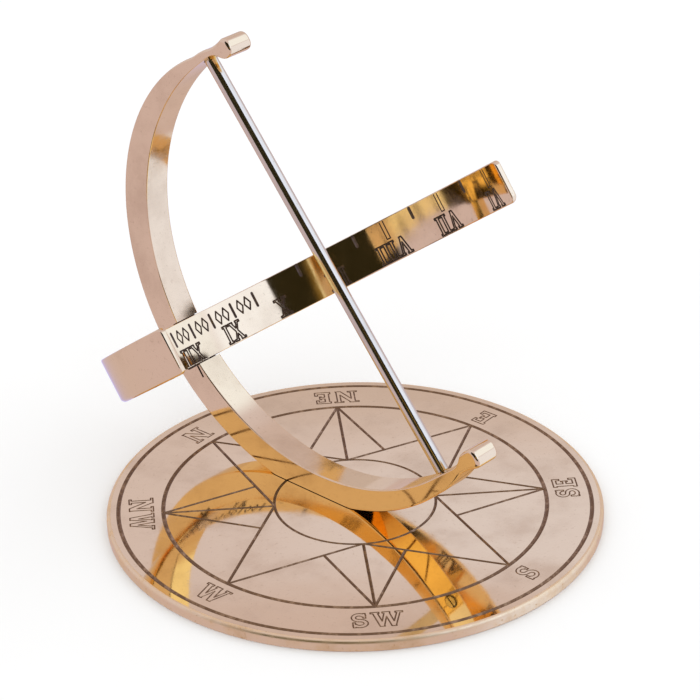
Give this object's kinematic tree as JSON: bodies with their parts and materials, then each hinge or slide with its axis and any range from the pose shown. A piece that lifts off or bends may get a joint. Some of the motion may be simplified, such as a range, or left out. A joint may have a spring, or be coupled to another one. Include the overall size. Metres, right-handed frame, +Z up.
{
  "type": "equatorial bow sundial",
  "caption": "Desk-top equatorial bow sundial: a half-ring hour band and a straight steel gnomon rod held by a brass crescent bow on a round plate with an engraved compass rose.",
  "frame": {"origin": "centre of the plate's flat underside", "axes": "+Z up; +Y north, in the plane of the bow at rest and towards its middle; +X east"},
  "size_m": [0.15, 0.1645, 0.1429],
  "materials": {
    "plate_brass": "polished, with brown patina in the engraved lines",
    "bow_brass": "highly polished casting",
    "band_brass": "polished strip, engraved inside",
    "rod_steel": "polished round bar",
    "screw_steel": "turned, satin",
    "screw_brass": "turned, satin"
  },
  "bodies": {
    "base": {"base_plate": "plate_brass"},
    "bow": {"meridian_bow": "bow_brass", "hour_band": "band_brass", "gnomon_rod": "rod_steel", "gnomon_screw": "screw_steel", "band_screw": "screw_brass", "foot_screw": "screw_steel", "foot_washer": "screw_steel"}
  },
  "joints": [
    {"name": "bow_swivel", "type": "hinge", "parent": "base", "child": "bow", "pos_m": [0, 0.0114, 0.0035], "axis": [0, 0, 1], "continuous": true}
  ]
}
